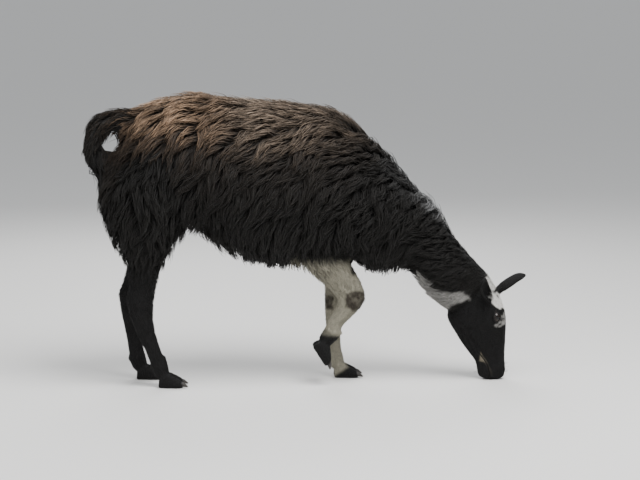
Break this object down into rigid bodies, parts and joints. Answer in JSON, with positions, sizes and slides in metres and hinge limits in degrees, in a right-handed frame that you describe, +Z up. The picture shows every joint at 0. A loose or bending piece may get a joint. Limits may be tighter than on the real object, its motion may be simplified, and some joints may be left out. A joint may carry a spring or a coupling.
{
  "type": "grazing llama",
  "caption": "Life-size still llama in full dark fleece, grazing with its lips on the ground and one foreleg lifted.",
  "frame": {"origin": "on the floor, under the centre of the bounding box", "axes": "+X towards the head, +Y towards the animal's left, +Z up"},
  "size_m": [1.761, 0.536, 1.157],
  "materials": {
    "brown_wool": "long matte wool, brown-black with sun-bleached tips",
    "black_wool": "long matte wool, near black",
    "black_hair": "short flat hair, near black, with white marks on the face",
    "pale_hair": "short flat hair, greyish cream",
    "wet_eye": "wet, dark, glossy",
    "horn": "dark horn, half gloss",
    "bare_skin": "bare dark skin of the nostrils, lips and foot pads"
  },
  "bodies": {
    "root": {"trunk": "brown_wool", "neck": "black_wool", "head": "black_hair", "tail": "black_wool", "ear_left": "black_hair", "ear_right": "black_hair", "eye_left": "wet_eye", "eye_right": "wet_eye", "hind_leg_left": "black_wool", "hind_leg_right": "black_wool", "hind_foot_left": "black_hair", "hind_foot_right": "black_hair", "hind_nail_left_inner": "horn", "hind_nail_left_outer": "horn", "hind_nail_right_inner": "horn", "hind_nail_right_outer": "horn", "fore_leg_left": "pale_hair", "fore_leg_right": "pale_hair", "fore_foot_left": "black_hair", "fore_foot_right": "black_hair", "fore_nail_left_inner": "horn", "fore_nail_left_outer": "horn", "fore_nail_right_inner": "horn", "fore_nail_right_outer": "horn"}
  },
  "joints": []
}
